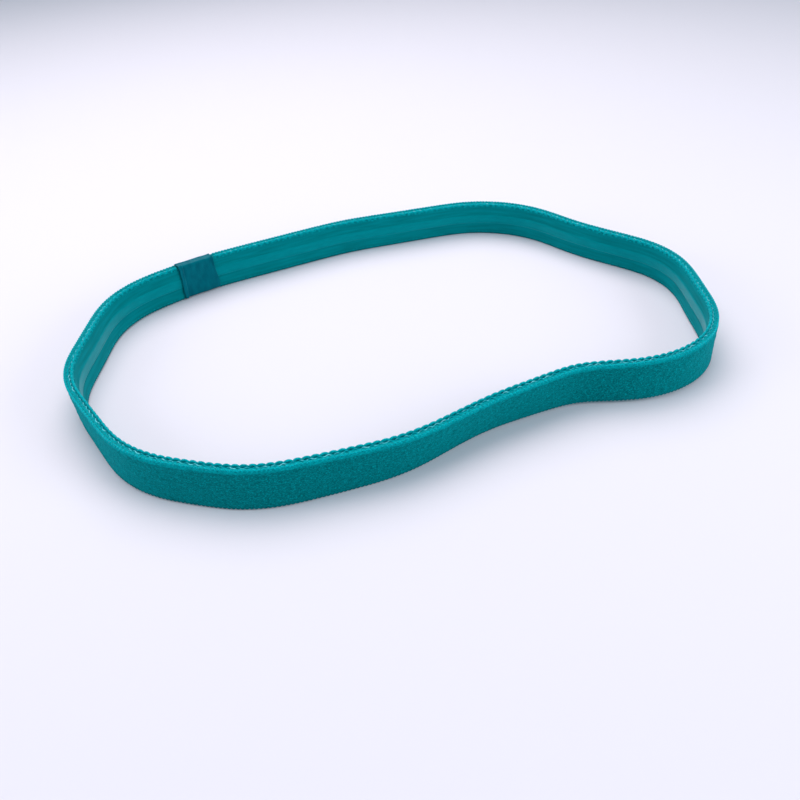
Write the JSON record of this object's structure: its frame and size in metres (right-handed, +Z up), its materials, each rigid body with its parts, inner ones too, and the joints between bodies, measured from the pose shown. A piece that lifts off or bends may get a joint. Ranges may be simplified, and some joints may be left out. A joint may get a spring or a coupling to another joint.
{
  "type": "headband",
  "caption": "Narrow elastic hair band: a picot-edged strap loop with a brushed outer face, a silicone grip stripe inside and a ribbon-wrapped join.",
  "frame": {"origin": "under the middle of the loop's outline, on the plane that the strap's lower edge rests on", "axes": "+X along the loop's longest side, +Z up across the strap's width, from the lower picot edge to the upper one"},
  "size_m": [0.1562, 0.1202, 0.0103],
  "materials": {
    "face_yarn": "brushed, matt",
    "web_yarn": "knitted",
    "rubber_thread": "plain",
    "backing_yarn": "smooth knit, slight sheen",
    "picot_yarn": "looped, bright",
    "silicone": "clear, glossy",
    "sewing_thread": "twisted",
    "satin_ribbon": "satin"
  },
  "bodies": {
    "root": {"pile_face": "face_yarn", "ground_web": "web_yarn", "rubber_threads": "rubber_thread", "binder_yarn": "web_yarn", "inner_backing": "backing_yarn", "picot_edge_top": "picot_yarn", "picot_edge_bottom": "picot_yarn", "silicone_grip": "silicone", "stitches_outer": "sewing_thread", "stitches_inner": "sewing_thread", "join_ribbon": "satin_ribbon"}
  },
  "joints": []
}
